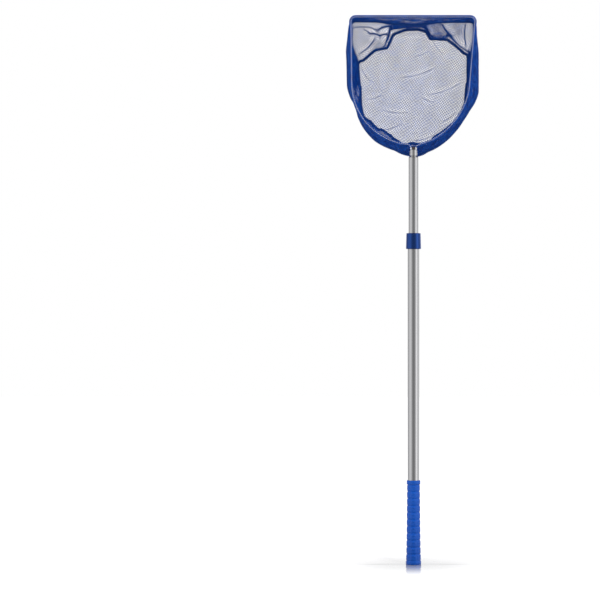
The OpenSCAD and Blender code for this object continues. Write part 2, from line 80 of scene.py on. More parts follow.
# How the second seam is looped up and down across the bag's top, and how far it is drawn
# up along the bag's bottom: shares of the two sags, by place across the hoop
DROP_AT = ((-0.92, 1.26), (-0.7, 0.63), (-0.47, 0.48), (-0.37, -0.33), (-0.14, -0.62), (0.1, -0.64),
           (0.23, -0.5), (0.3, -0.06), (0.61, -0.02), (0.72, 0.24), (0.92, 0.81))
LIFT_AT = ((-0.95, 0.3), (-0.9, 1.0), (-0.83, 1.5), (-0.75, 1.65), (-0.68, 1.75), (-0.6, 2.25),
           (-0.46, 2.15), (-0.39, 1.9), (-0.32, 1.75), (-0.25, 1.45), (-0.17, 1.45), (-0.08, 1.9),
           (0.04, 1.8), (0.1, 1.5), (0.19, 1.1), (0.26, 1.3), (0.34, 1.95), (0.41, 1.95), (0.48, 1.85),
           (0.56, 1.8), (0.63, 1.7), (0.7, 1.3), (0.77, 1.25), (0.82, 2.1), (0.86, 1.5), (0.92, 0.4))
# The first seam too hangs unevenly under the top bar: by place across the hoop
RIM_DROP_AT = ((-0.95, -4 * MM), (-0.6, -3.6 * MM), (-0.46, -1.5 * MM), (-0.3, 0.8 * MM), (0, 2.3 * MM),
               (0.17, 1.5 * MM), (0.27, -1.2 * MM), (0.6, -3.4 * MM), (0.95, -3 * MM))

# Shares of the hoop's height between which each of these sets in or fades out
DROP_FROM, LIFT_TO, RIM_DROP_FROM, LEAN_TO = (0.58, 0.77), (0.2, 0.4), (0.85, 0.95), (0.68, 0.97)
PAST_RIM_POWER = 1.3        # how slowly the second seam's drop and lift set in behind the first

# The net: a square mesh set on the diagonal
NET_PITCH, WALL_PITCH = 2.4 * MM, 2.1 * MM     # the wall's cloth is drawn closer
THREAD, WALL_THREAD = 0.59 * MM, 0.74 * MM
FLOOR_TURN = math.radians(22)                  # of the floor's mesh against the walls'
WANDER, WANDER_SPAN = 0.8 * MM, 65 * MM        # how far and how often its threads wander
WANDER_SLANT = 4, 5                            # how steeply its two waves run across the cloth
BAND_LAYERS = -0.5 * MM, 0.9 * MM              # how far the band's two layers stand in and out
RUFFLE = 1.6 * MM                              # how much they wave
SLEEVE_PITCH, SLEEVE_CELLS = 2.2 * MM, 5
SLEEVE_GAP, SLEEVE_BUNCH = math.radians(225), 0.5     # where it is thin and the wire shines through
SLEEVE_BACK = 1.1 * MM                         # how far it stands off the wire at the back
TAPE_FROM, TAPE_TO = math.radians(-75), math.radians(200)     # the hem's turned edge, round the wire
TAPE_R, TAPE_T, TAPE_STEP = 1.9 * MM, 0.25 * MM, 1.6 * MM
CREASE_BOW, CREASE_END = 0.06, 0.35            # how a crease bows, and its depth at its ends
CREASE_FREE = 8 * MM                           # how near a seam it fades

# How the cloth hangs: how much longer it is than its path, how firmly the seams keep
# their place, and how much of its weight it feels
BAND_SLACK, WALL_SLACK, FLOOR_SLACK = 0.03, 0.05, 0.02
RIM_HOLD, FLOOR_HOLD = 0.25, 0.4
HANG_WEIGHT, HANG_FRAMES = 0.5, 36

# Seams and stitches. The thread wound round a seam's cord has WIND_R of its radius
WIND_STEPS, WIND_PITCH, WIND_R = 8, 1.9 * MM, 0.3
JOIN_R = 0.75 * MM
STITCH_LEN, STITCH_R, STITCH_PITCH = 2.6 * MM, 0.5 * MM, 3.9 * MM

# The pole's pieces
TUBE_WALL, UPPER_WALL, NECK_WALL = 1.0 * MM, 0.8 * MM, 0.7 * MM
UPPER_R, NECK_R = 8 * MM, 6.1 * MM
NECK_LEN, NECK_TAPER = 8.4 * MM, 5 * MM
LIP_R = 8.3 * MM
COLLAR_BEVEL = 1.2 * MM
GRIP_LOW_R, GRIP_TOP_R, GRIP_BORE = 12.1 * MM, 10.4 * MM, 9.55 * MM
GRIP_GROOVE, GRIP_DENT, GRIP_NOTCH, GRIP_LIP = 0.5 * MM, 0.45 * MM, 0.35 * MM, 0.6 * MM
GRIP_RINGS, GRIP_PADS, GRIP_ROWS = 11, 6, 16
RIM_R, RIM_H = 10.95 * MM, 6.5 * MM
FOOT_R, FOOT_H, FOOT_FLOOR = 12.3 * MM, 6 * MM, 4 * MM

neck_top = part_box("inner_tube")[1].z
leg_top = neck_top + 0.3 * MM
round_from = {side: math.asin(((LEG_X + LEG_BEND) / half) ** (power / 2))
              for side, (half, _, power) in HOOP.items()}
round_z = leg_top + LEG_BEND + HOOP_ROUND_H * math.cos(round_from[-1]) ** (2 / HOOP[-1][2])
hoop_top = round_z + HOOP_SIDE_H
hoop_low = round_z - HOOP_ROUND_H


# ---------------------------------------------------------------- the hoop's outline
def half_outline(side, start, arc_steps=40, side_steps=12, corner_steps=8):
    """One side of the hoop, from angle start of its round part up to the top bar."""
    low, high, power = HOOP[side]
    power = 2 / power
    z1 = hoop_top - HOOP_CORNER_R
    points = []
    for i in range(arc_steps + 1):
        a = start + (math.pi / 2 - start) * i / arc_steps
        points.append((side * low * math.sin(a) ** power, round_z - HOOP_ROUND_H * math.cos(a) ** power))
    for i in range(1, side_steps + 1):
        s = i / (side_steps + 0.5)
        points.append((side * (low + (high - low) * s), round_z + (z1 - round_z) * s))
    for i in range(corner_steps + 1):
        a = math.pi / 2 * i / corner_steps
        points.append((side * (high - HOOP_CORNER_R * (1 - math.cos(a))), z1 + HOOP_CORNER_R * math.sin(a)))
    return points


def bar_points(steps=24):
    """The top bar between the two corners."""
    x0, x1 = HOOP_CORNER_R - HOOP[-1][1], HOOP[1][1] - HOOP_CORNER_R
    return [(x0 + (x1 - x0) * i / steps, hoop_top) for i in range(1, steps)]


def resample(points, count, closed=False):
    """count points at even steps along a line of points, which may be closed."""
    p = np.array(list(points) + ([points[0]] if closed else []), float)
    s = np.concatenate([[0], np.cumsum(np.linalg.norm(np.diff(p, axis=0), axis=1))])
    steps = np.linspace(0, s[-1], count + closed)[:count]
    return np.stack([np.interp(steps, s, p[:, k]) for k in range(p.shape[1])], axis=1), s[-1]


def whole_outline(left_start, right_start):
    return half_outline(-1, left_start) + bar_points() + half_outline(1, right_start)[::-1]


def wire_outline():
    return whole_outline(round_from[-1], round_from[1])


def wire_bend(side):
    """The bend from a leg of the wire out into the hoop."""
    return [(side * (LEG_X + LEG_BEND * (1 - math.cos(a))), leg_top + LEG_BEND * math.sin(a))
            for a in (math.pi / 2 * i / 14 for i in range(14))]


def bag_outline(count):
    """The closed outline that the bag hangs from, starting at the bottom, and its length."""
    low = math.radians(2)
    return resample([(0, hoop_low)] + whole_outline(low, low), count, closed=True)


def lookup(table, places):
    """A table's values at an array of places."""
    return np.interp(places, [t[0] for t in table], [t[1] for t in table])


def at(table, place):
    return float(lookup(table, place))


def pairs(count, closed):
    """Each of count places with the next one, the last with the first if closed."""
    return [(i, (i + 1) % count) for i in range(count if closed else count - 1)]


def setting(thing, **values):
    for key, value in values.items():
        setattr(thing, key, value)
    return thing


# ---------------------------------------------------------------- node trees
def input_of(node, key):
    """A node's input: i and a number for its place, or its name with _ for a space."""
    by_place = key[0] == "i" and key[1:].isdigit()
    return node.inputs[int(key[1:]) if by_place else key.replace("_", " ")]


def new_node(tree, kind, settings, sockets):
    """Any node: its settings are set first, then its sockets by value or link."""
    node = setting(tree.nodes.new(kind), **(settings or {}))
    for key, value in sockets.items():
        if isinstance(value, Val):
            value = value.socket
        if isinstance(value, bpy.types.Node):
            value = value.outputs[0]
        if isinstance(value, bpy.types.NodeSocket):
            tree.links.new(value, input_of(node, key))
        else:
            input_of(node, key).default_value = value
    return node


def numbered(values):
    return {f"i{k}": value for k, value in enumerate(values)}


def calculated(tree, operation, *values):
    """A Math node on numbers and sockets."""
    node = new_node(tree, "ShaderNodeMath", {"operation": operation}, numbered(values))
    return Val(tree, node.outputs[0])


class Val:
    """A shader socket that takes part in Python expressions."""

    def __init__(self, tree, socket):
        self.tree, self.socket = tree, socket

    def give(self, slot):
        self.tree.links.new(self.socket, slot)

    def math(self, operation, *others):
        return calculated(self.tree, operation, self, *others)

    def __add__(self, other):
        return self.math("ADD", other)

    def __mul__(self, other):
        return self.math("MULTIPLY", other)

    def __sub__(self, other):
        return self.math("SUBTRACT", other)

    def __rsub__(self, other):
        return calculated(self.tree, "SUBTRACT", other, self)

    def __truediv__(self, other):
        return self.math("DIVIDE", other)

    __radd__, __rmul__ = __add__, __mul__

    def smooth(self, low, high):
        """0 below low, 1 above high, and smooth between them."""
        node = new_node(self.tree, "ShaderNodeMapRange", {"interpolation_type": "SMOOTHSTEP"},
                        {"Value": self, "From_Min": low, "From_Max": high})
        return Val(self.tree, node.outputs[0])


class Shading:
    """A shader tree under construction."""

    def __init__(self, tree):
        self.tree = tree

    def node(self, kind, settings=None, output=0, **sockets):
        return Val(self.tree, new_node(self.tree, kind, settings, sockets).outputs[output])

    def rays(self, kind):
        return self.node("ShaderNodeLightPath", output=f"Is {kind} Ray")

    def ramp(self, stops, factor):
        """Grey levels along a factor, from stops of a position and a level."""
        node = new_node(self.tree, "ShaderNodeValToRGB", None, {"Fac": factor})
        elements = node.color_ramp.elements
        while len(elements) < len(stops):
            elements.new(0.5)
        for element, (position, level) in zip(elements, stops):
            setting(element, position=position, color=(level, level, level, 1))
        return Val(self.tree, node.outputs[0])


class Finish(Shading):
    """One material under construction. Colours are three numbers from 0 to 255."""

    def __init__(self, name, **shader):
        self.material = bpy.data.materials.new(name)
        self.material.use_nodes = True
        super().__init__(self.material.node_tree)
        self.shader = self.tree.nodes["Principled BSDF"]
        for key, value in shader.items():
            input_of(self.shader, key).default_value = value

    def place(self, scale=(1, 1, 1)):
        """Object coordinates, stretched by scale."""
        here = self.node("ShaderNodeTexCoord", output="Object")
        return self.node("ShaderNodeMapping", Vector=here, Scale=scale)

    def grain(self, scale, detail=3.0, stretch=(1, 1, 1)):
        """Noise in object coordinates."""
        return self.node("ShaderNodeTexNoise", Vector=self.place(stretch), Scale=scale, Detail=detail,
                         Roughness=0.55)

    def twist(self, scale, distortion):
        """The slanting lay of a twisted thread."""
        return self.node("ShaderNodeTexWave", {"bands_direction": "DIAGONAL"}, output="Fac",
                         Vector=self.place(), Scale=scale, Distortion=distortion, Detail=1.0)

    def colour(self, factor, a, b):
        """Feeds the base colour with a blend of two colours."""
        self.feed(Base_Color=self.node("ShaderNodeMix", {"data_type": "RGBA"}, output=2, i0=factor,
                                       i6=rgb(*a), i7=rgb(*b)))

    def feed(self, **sockets):
        """Links values to the shader's own sockets."""
        for key, value in sockets.items():
            value.give(input_of(self.shader, key))

    def bump(self, height, distance, strength):
        self.feed(Normal=self.node("ShaderNodeBump", Height=height, Distance=distance, Strength=strength))


def rgb(r, g, b):
    """An sRGB colour from 0-255 numbers, as linear light with alpha."""
    def linear(v):
        v = v / 255
        return v / 12.92 if v <= 0.04045 else ((v + 0.055) / 1.055) ** 2.4
    return (linear(r), linear(g), linear(b), 1.0)


# ---------------------------------------------------------------- mesh tools
def placed(name, data):
    """A new object of the scene that holds data."""
    thing = bpy.data.objects.new(name, data)
    bpy.context.scene.collection.objects.link(thing)
    return thing


def mesh_object(name, points, faces=(), edges=()):
    mesh = bpy.data.meshes.new(name)
    mesh.from_pydata([tuple(p) for p in points], list(edges), list(faces))
    mesh.update()
    return placed(name, mesh)


def baked(thing, name):
    """thing with its modifiers applied, as a new plain mesh object. thing is deleted."""
    evaluated = thing.evaluated_get(bpy.context.evaluated_depsgraph_get())
    mesh = bpy.data.meshes.new_from_object(evaluated)
    mesh.name = name
    bpy.data.objects.remove(thing)
    return placed(name, mesh)


class Tree:
    """A geometry nodes tree under construction, with named number inputs."""

    def __init__(self, name, **inputs):
        self.group = bpy.data.node_groups.new(name, "GeometryNodeTree")
        sockets = self.group.interface
        sockets.new_socket("Geometry", in_out="INPUT", socket_type="NodeSocketGeometry")
        sockets.new_socket("Geometry", in_out="OUTPUT", socket_type="NodeSocketGeometry")
        self.identifier = {}
        for key, value in inputs.items():
            kind = "NodeSocketInt" if isinstance(value, int) else "NodeSocketFloat"
            socket = sockets.new_socket(key, in_out="INPUT", socket_type=kind)
            socket.default_value = value
            self.identifier[key] = socket.identifier
        self.source = self.group.nodes.new("NodeGroupInput")
        self.geometry = self.source.outputs["Geometry"]

    def input(self, key):
        return self.source.outputs[key]

    def node(self, kind, settings=None, **sockets):
        return new_node(self.group, kind, settings, sockets)

    def math(self, operation, *values, kind="ShaderNodeMath"):
        return self.node(kind, {"operation": operation}, **numbered(values))

    def vector(self, operation, *values):
        return self.math(operation, *values, kind="ShaderNodeVectorMath")

    def scaled(self, vector, factor):
        return self.node("ShaderNodeVectorMath", {"operation": "SCALE"}, i0=vector, Scale=factor)

    def path(self):
        """The edges that the tree runs on, as curves."""
        return self.node("GeometryNodeMeshToCurve", Mesh=self.geometry)

    def tube(self, path, resolution, radius):
        ring = self.node("GeometryNodeCurvePrimitiveCircle", Resolution=resolution, Radius=radius)
        return self.node("GeometryNodeCurveToMesh", Curve=path, Profile_Curve=ring, Fill_Caps=True)

    def finish(self, geometry, material):
        real = self.node("GeometryNodeRealizeInstances", Geometry=geometry)
        painted = self.node("GeometryNodeSetMaterial", Geometry=real, Material=material)
        self.node("NodeGroupOutput", Geometry=painted)
        return self

    def grow(self, thing, name, **values):
        """Runs the tree on thing and returns the result as a plain mesh object."""
        modifier = thing.modifiers.new("grow", "NODES")
        modifier.node_group = self.group
        for key, value in values.items():
            modifier[self.identifier[key]] = value
        return baked(thing, name)


# ---------------------------------------------------------------- the bag's cloth
LOOP = 240                 # columns of cloth round the bag
BAND_ROWS = 4              # rows of cloth in the band, hem to first seam
WALL_ROWS = 10             # rows of cloth in the wall, first seam to second
RIM_ROW, FLOOR_ROW = BAND_ROWS, BAND_ROWS + WALL_ROWS
FLOOR_GRID = 5.2 * MM      # between the floor panel's points
BAND, WALL, FLOOR = 0, 1, 2
outline, loop_length = bag_outline(LOOP)
after, before = np.roll(outline, -1, axis=0), np.roll(outline, 1, axis=0)
tangent = (after - before) / np.linalg.norm(after - before, axis=1)[:, None]
outward = np.stack([-tangent[:, 1], tangent[:, 0]], axis=1)


def ease(v, low, high):
    """0 below low, 1 above high, and smooth between them."""
    t = np.clip((v - low) / (high - low), 0, 1)
    return t * t * (3 - 2 * t)


def across(table):
    """A table's values by place across the hoop, for each column of cloth."""
    return lookup(table, outline[:, 0] / HOOP[-1][0])


def section(y):
    """The bag's cross-section at depth y, as x, y, z rows."""
    share = (outline[:, 1] - hoop_low) / (hoop_top - hoop_low)
    sag = at(LOW_SAG_AT, y) * (1 - share) + at(TOP_SAG_AT, y) * share
    past_rim = max(0, (y - RIM_Y) / (FLOOR_Y - RIM_Y)) ** PAST_RIM_POWER
    drop = TOP_SAG * across(DROP_AT) * ease(share, *DROP_FROM)
    lift = LOW_SAG * across(LIFT_AT) * (1 - ease(share, *LIFT_TO))
    rim_drop = across(RIM_DROP_AT) * ease(share, *RIM_DROP_FROM) * min(1, y / RIM_Y) * (1 - past_rim)
    fade = np.where(outline[:, 0] < 0, lookup(SWELL_LEFT, share), lookup(SWELL_RIGHT, share))
    fade *= np.minimum(1, (hoop_top - outline[:, 1]) / BULGE_FADE)
    swell = at(BULGE_AT, y) * fade
    lean = at(LEAN_AT, y) * (1 - ease(share, *LEAN_TO))
    x = outline[:, 0] * at(WIDTH_AT, y) + lean + outward[:, 0] * swell
    z = outline[:, 1] - sag + (lift - drop) * past_rim - rim_drop + outward[:, 1] * swell
    return np.stack([x, np.full(LOOP, y), z], axis=1)


def bag_cloth():
    """The bag's cloth before it hangs: one mesh, its faces' panel as their material
    index, and its flat pattern as its UV map."""
    band_y = np.linspace(HEM_Y, RIM_Y, BAND_ROWS + 1)
    wall_y = np.linspace(RIM_Y, FLOOR_Y, WALL_ROWS + 1)[1:]
    depths = np.concatenate([band_y, wall_y])
    rows = [section(y) for y in depths]
    points = list(np.concatenate(rows))
    faces, panels, flat = [], [], []
    step = loop_length / LOOP
    for r, s in pairs(FLOOR_ROW + 1, False):
        for i, j in pairs(LOOP, True):
            faces.append((r * LOOP + i, r * LOOP + j, s * LOOP + j, s * LOOP + i))
            panels.append(BAND if r < RIM_ROW else WALL)
            u, v = (i * step, (i + 1) * step), (depths[r], depths[s])
            flat.append([(u[0], v[0]), (u[1], v[0]), (u[1], v[1]), (u[0], v[1])])
    # The floor panel: its edge is the last row, and its inside an even grid of points
    edge = [Vector((p[0], p[2])) for p in rows[-1]]
    grid = FLOOR_GRID
    low, high = rows[-1].min(axis=0), rows[-1].max(axis=0)
    inside = []
    for iz in range(int((high[2] - low[2]) / grid) + 1):
        for ix in range(int((high[0] - low[0]) / grid) + 2):
            p = Vector((low[0] + (ix + 0.5 * (iz % 2)) * grid, low[2] + (iz + 0.5) * grid * 0.95))
            if within(p, edge) and min((p - e).length for e in edge) > 0.6 * grid:
                inside.append(p)
    found = delaunay_2d_cdt(edge + inside, pairs(LOOP, True), [list(range(LOOP))], 1, 1e-7)
    centre = Vector(((low[0] + high[0]) / 2, (low[2] + high[2]) / 2))
    reach = max((e - centre).length for e in edge)
    first = FLOOR_ROW * LOOP
    for p in inside:
        share = min(1, min((p - e).length for e in edge) / (0.45 * reach))
        points.append((p.x, FLOOR_Y + FLOOR_BULGE * share * (2 - share), p.y))
    for face in found[2]:
        corners = [found[3][v][0] for v in face]
        faces.append(tuple(first + c for c in corners))
        panels.append(FLOOR)
        flat.append([tuple((edge + inside)[c]) for c in corners])
    cloth = mesh_object("bag_cloth", points, faces)
    for polygon, panel in zip(cloth.data.polygons, panels):
        polygon.material_index = panel
    uv = cloth.data.uv_layers.new(name="flat")
    uv.data.foreach_set("uv", [c for corners in flat for point in corners for c in point])
    return cloth


def within(p, loop):
    """True if the 2-D point p lies inside a closed loop of points."""
    inside = False
    for i, a in enumerate(loop):
        b = loop[i - 1]
        if (a.y > p.y) != (b.y > p.y) and p.x < (b.x - a.x) * (p.y - a.y) / (b.y - a.y) + a.x:
            inside = not inside
    return inside


def hang(cloth, frames=HANG_FRAMES):
    """Lets the cloth hang from the hoop under its own weight."""
    count = len(cloth.data.vertices)
    rim, floor = RIM_ROW * LOOP, FLOOR_ROW * LOOP
    for name, spans in (
            ("held", ((0, LOOP, 1.0), (rim, rim + LOOP, RIM_HOLD), (floor, floor + LOOP, FLOOR_HOLD))),
            ("slack", ((0, rim, BAND_SLACK / WALL_SLACK), (rim, floor, 1.0),
                       (floor, count, FLOOR_SLACK / WALL_SLACK)))):
        group = cloth.vertex_groups.new(name=name)
        for first, end, weight in spans:
            group.add(list(range(first, end)), weight, "REPLACE")
    drape = cloth.modifiers.new("drape", "CLOTH")
    setting(drape.settings, quality=8, mass=0.02, tension_stiffness=12, compression_stiffness=12,
            shear_stiffness=4, bending_stiffness=0.02, tension_damping=5, compression_damping=5,
            shear_damping=5, air_damping=2, vertex_group_mass="held", vertex_group_shrink="slack",
            shrink_min=0, shrink_max=-WALL_SLACK)
    drape.settings.effector_weights.gravity = HANG_WEIGHT
    setting(drape.collision_settings, use_collision=False, use_self_collision=False)
    setting(drape.point_cache, frame_start=1, frame_end=frames)
    scene = bpy.context.scene
    scene.frame_end = frames
    for f in range(1, frames + 1):
        scene.frame_set(f)
    result = baked(cloth, "bag_cloth")
    scene.frame_set(1)
    return result


def smoothed(cloth):
    """The hung cloth with half the cell size, its folds kept sharp at the two seams."""
    crease = cloth.data.attributes.new("crease_edge", "FLOAT", "EDGE")
    for i, edge in enumerate(cloth.data.edges):
        rows = {v // LOOP for v in edge.vertices}
        if rows in ({FLOOR_ROW}, {RIM_ROW}):
            crease.data[i].value = 0.8
    setting(cloth.modifiers.new("finer", "SUBSURF"), levels=1, render_levels=1, uv_smooth="NONE")
    return baked(cloth, "bag_cloth")


class Panel:
    """One panel of the hung cloth, known by its flat pattern."""

    def __init__(self, cloth, panel, round_length=None):
        mesh = cloth.data
        uv = mesh.uv_layers["flat"].data
        self.round_length = round_length
        self.flat, self.hung, self.faces = [], [], []
        for polygon in mesh.polygons:
            if polygon.material_index != panel:
                continue
            loops = list(polygon.loop_indices)
            for k in range(1, len(loops) - 1):
                first = len(self.flat)
                for loop in (loops[0], loops[k], loops[k + 1]):
                    self.flat.append(Vector((*uv[loop].uv, 0)))
                    self.hung.append(mesh.vertices[mesh.loops[loop].vertex_index].co.copy())
                self.faces.append((first, first + 1, first + 2))
        self.tree = BVHTree.FromPolygons(self.flat, self.faces)

    def place(self, u, v):
        """Where the flat point (u, v) hangs, or None outside the panel."""
        if self.round_length:
            u = u % self.round_length
        found = self.tree.find_nearest(Vector((u, v, 0)), 0.02 * MM)
        if found[2] is None:
            return None
        corners = self.faces[found[2]]
        flat = [self.flat[c] for c in corners]
        hung = [self.hung[c] for c in corners]
        return barycentric_transform(found[0], *flat, *hung)

    def border(self, inside, outside):
        """The hung place where a flat line from inside to outside leaves the panel."""
        def part_way(share):
            return self.place(*(a + (b - a) * share for a, b in zip(inside, outside)))

        low, high = 0.0, 1.0
        for _ in range(7):
            middle = (low + high) / 2
            low, high = (middle, high) if part_way(middle) else (low, middle)
        return part_way(low)

    def net(self, low, high, shift=None, start=0.0, turn=0.0, pitch=NET_PITCH):
        """The panel's threads as points and edges, between two corners of the flat pattern.
        shift moves each point, known by its flat place, start slides the pattern along,
        and turn turns it about its middle, where the panel isn't a closed ring."""
        half = pitch / math.sqrt(2)
        middle = [(a + b) / 2 for a, b in zip(low, high)]
        if self.round_length:
            columns = 2 * round(self.round_length / half / 2)
            step, first = self.round_length / columns, 0
            rows = int((high[1] - low[1]) / half) + 3
            bottom = low[1] - half
        else:
            reach = math.dist(low, high) / 2
            columns = rows = int(2 * reach / half) + 3
            step, first = half, -reach
            bottom = -reach
        points, edges, index = [], [], {}
        span = self.round_length or high[0] - low[0]
        waves = 2 * math.pi * round(span / WANDER_SPAN) / span

        def flat(i, j):
            u, v = first + (i + start) * step, bottom + (j + start) * half
            if not self.round_length:
                u, v = (middle[0] + u * math.cos(turn) - v * math.sin(turn),
                        middle[1] + u * math.sin(turn) + v * math.cos(turn))
            return (u + WANDER * math.sin(waves * u + v / WANDER_SPAN * WANDER_SLANT[0]),
                    v + WANDER * math.sin(2 * waves * u - v / WANDER_SPAN * WANDER_SLANT[1]))

        def moved(place, u, v):
            return place + shift(u, v) if shift else place

        for j in range(rows):
            for i in range(j % 2, columns, 2):
                hung = self.place(*flat(i, j))
                if hung:
                    index[i, j] = len(points)
                    points.append(moved(hung, *flat(i, j)))
        for j in range(rows - 1):
            for i in range(j % 2, columns, 2):
                for side in (-1, 1):
                    k = (i + side) % columns if self.round_length else i + side
                    a, b = index.get((i, j)), index.get((k, j + 1))
                    if a is not None and b is not None:
                        edges.append((a, b))
                    elif a is not None or b is not None:
                        ends = flat(i, j), flat(i + side, j + 1)
                        inside, outside = ends if a is not None else ends[::-1]
                        end = self.border(inside, outside)
                        known = a if a is not None else b
                        end = end and moved(end, *outside)
                        if end and (end - points[known]).length > 0.1 * MM:
                            edges.append((known, len(points)))
                            points.append(end)
        return points, edges


# Folds across the wall along the bag's top, and small creases of the floor: the two ends
# of each as seen from the front (x, z), how far it is sunk, and its radius, in mm
WALL_FOLDS = (
    (-32, 870, -41, 851, 2, 6.5), (-41, 851, -47, 837, 2, 6), (19, 868, 31, 853, 2, 5.5),
    (46, 870, 61, 854, 3, 6), (59, 856, 92, 828, 3, 7), (-35, 867, -58, 861, 2, 6.5),
    (-56, 861, -97, 863.5, 1, 3.5), (-41, 856, -55, 853, 2, 5.5), (-54, 853, -71, 855.5, 2, 6.5),
    (-70, 855, -80, 861, 1, 4), (-88, 826, -63, 848, 2, 4.5), (84, 870, 86, 838, 1.5, 5),
    (-8, 864, -2, 858, 1.5, 5))
ROOF_FOLD = ((-36, 873, 22, 873, 0, 12),)      # the wall drawn up behind the band, mid-way
FLOOR_CREASE_R = 3.2
FLOOR_CREASES = (
    (-22, 788, 36, 805, 2.6), (24, 760, 76, 779, 2.8), (-50, 735, -11, 731, 2.4),
    (0, 684, 36, 695, 2.6), (-86, 805, -70, 781, 2.6), (29, 855, 46, 828, 3.2),
    (5, 823, 25, 832, 1.8), (14, 756, 32, 748, 1.6), (-60, 700, -20, 712, 1.6),
    (48, 716, 70, 731, 1.8), (-76, 752, -52, 760, 1.5))


def creased(points, creases, pull, depths, power=2):
    """Net points sunk along each crease and drawn in towards it, so that it looks dark.
    Where the net is sewn down, at the first and last of depths, it keeps its place."""
    p = np.array([tuple(q) for q in points])
    low, high = depths
    free = np.clip(np.minimum(p[:, 1] - low, high - p[:, 1]) / CREASE_FREE, 0, 1)
    for x0, z0, x1, z1, depth, radius in creases:
        a, b = np.array((x0, z0)) * MM, np.array((x1, z1)) * MM
        along = b - a
        share = np.clip(((p[:, [0, 2]] - a) @ along) / (along @ along), 0, 1)
        bow = np.stack([along[1], -along[0]]) * CREASE_BOW
        gap = a + share[:, None] * along + np.sin(math.pi * share)[:, None] * bow - p[:, [0, 2]]
        near = np.exp(-(np.linalg.norm(gap, axis=1) / (radius * MM)) ** power)
        near *= np.clip(CREASE_END + 6 * np.minimum(share, 1 - share), 0, 1) * free
        p[:, [0, 2]] += pull * near[:, None] * gap
        p[:, 1] += depth * MM * near
    return [tuple(q) for q in p]


def sleeve_line(step):
    """Points along the wire where the sleeve covers it, from bend to bend, and the way out there."""
    line = np.array(wire_bend(-1)[4:] + wire_outline() + wire_bend(1)[:3:-1])
    count = int(np.linalg.norm(np.diff(line, axis=0), axis=1).sum() / step)
    path, _ = resample(line, count + 1)
    ahead = np.gradient(path, axis=0)
    ahead /= np.linalg.norm(ahead, axis=1)[:, None]
    return count, path, np.stack([-ahead[:, 1], ahead[:, 0]], axis=1)


def sleeve_net():
    """The threads of the hem where it wraps the wire, as points and edges."""
    count, path, across = sleeve_line(SLEEVE_PITCH / math.sqrt(2))
    around = 2 * SLEEVE_CELLS
    points, edges, index = [], [], {}
    for i in range(count + 1):
        for j in range(i % 2, around, 2):
            a = 2 * math.pi * (j + 0.5) / around
            a += SLEEVE_BUNCH * math.sin(a - SLEEVE_GAP)
            r = SLEEVE_R - 0.2 * MM + SLEEVE_BACK * max(0, math.sin(a)) ** 4
            index[i, j] = len(points)
            points.append((path[i, 0] + across[i, 0] * r * math.cos(a), r * math.sin(a),
                           path[i, 1] + across[i, 1] * r * math.cos(a)))
    for (i, j), first in index.items():
        for side in (-1, 1):
            other = index.get((i + 1, (j + side) % around))
            if other is not None:
                edges.append((first, other))
    return points, edges


def hem_tape():
    """The turned edge of the hem under the sleeve: a strip of close cloth half round the wire."""
    count, path, across = sleeve_line(TAPE_STEP)
    turns = np.linspace(TAPE_FROM, TAPE_TO, 11)
    ring = [(r * math.cos(a), r * math.sin(a))
            for r, way in ((TAPE_R, turns), (TAPE_R - TAPE_T, turns[::-1])) for a in way]
    around = len(ring)
    points = [(path[i, 0] + across[i, 0] * r, y, path[i, 1] + across[i, 1] * r)
              for i in range(count + 1) for r, y in ring]
    faces = [(i * around + j, i * around + k, m * around + k, m * around + j)
             for i, m in pairs(count + 1, False) for j, k in pairs(around, True)]
    faces += [tuple(range(around))[::-1], tuple(count * around + j for j in range(around))]
    return mesh_object("hem_tape", points, faces)


# ---------------------------------------------------------------- threads, seams and stitches
def thread_tree(material):
    """Turns each edge of a mesh into a short length of thread. With so few sides it is
    drawn a little thick, so that it looks as wide as a round one."""
    tree = Tree("net_threads", Thread=THREAD, Sides=4)
    radius = tree.math("MULTIPLY", tree.input("Thread"), 0.65)
    return tree.finish(tree.tube(tree.path(), tree.input("Sides"), radius), material)


def seam_tree(material):
    """A cord of cloth edges with a thread wound round it, along a path."""
    tree = Tree("wound_seam", Core=SEAM_R, Strand=WIND_R * SEAM_R, Steps=WIND_STEPS)
    path = tree.path()
    core = tree.tube(path, 8, tree.input("Core"))
    fine = tree.node("GeometryNodeResampleCurve", Curve=path, Count=tree.input("Steps"))
    angle = tree.math("MULTIPLY", tree.node("GeometryNodeInputIndex"), 2 * math.pi / WIND_STEPS)
    normal = tree.node("GeometryNodeInputNormal")
    side = tree.vector("CROSS_PRODUCT", normal, tree.node("GeometryNodeInputTangent"))
    way = tree.vector("ADD", tree.scaled(normal, tree.math("COSINE", angle)),
                      tree.scaled(side, tree.math("SINE", angle)))
    wound = tree.node("GeometryNodeSetPosition", Geometry=fine, Offset=tree.scaled(way, tree.input("Core")))
    strand = tree.tube(wound, 4, tree.input("Strand"))
    join = tree.node("GeometryNodeJoinGeometry")
    for part in (core, strand):
        tree.group.links.new(part.outputs[0], join.inputs[0])
    return tree.finish(join, material)


def stitch_tree(material):
    """A row of straight stitches along a path."""
    tree = Tree("hem_stitches", Stitch=STITCH_LEN, Thread=STITCH_R, Count=1)
    spots = tree.node("GeometryNodeCurveToPoints", Curve=tree.path(), Count=tree.input("Count"))
    line = tree.node("GeometryNodeCurvePrimitiveLine", {"mode": "DIRECTION"}, Start=(0, 0, 0),
                     Direction=(0, 0, 1), Length=tree.input("Stitch"))
    stitch = tree.tube(line, 6, tree.input("Thread"))
    row = tree.node("GeometryNodeInstanceOnPoints", Points=spots, Instance=stitch,
                    Rotation=spots.outputs["Rotation"])
    return tree.finish(row, material)


def path_object(name, points, closed):
    return mesh_object(name, points, edges=pairs(len(points), closed))


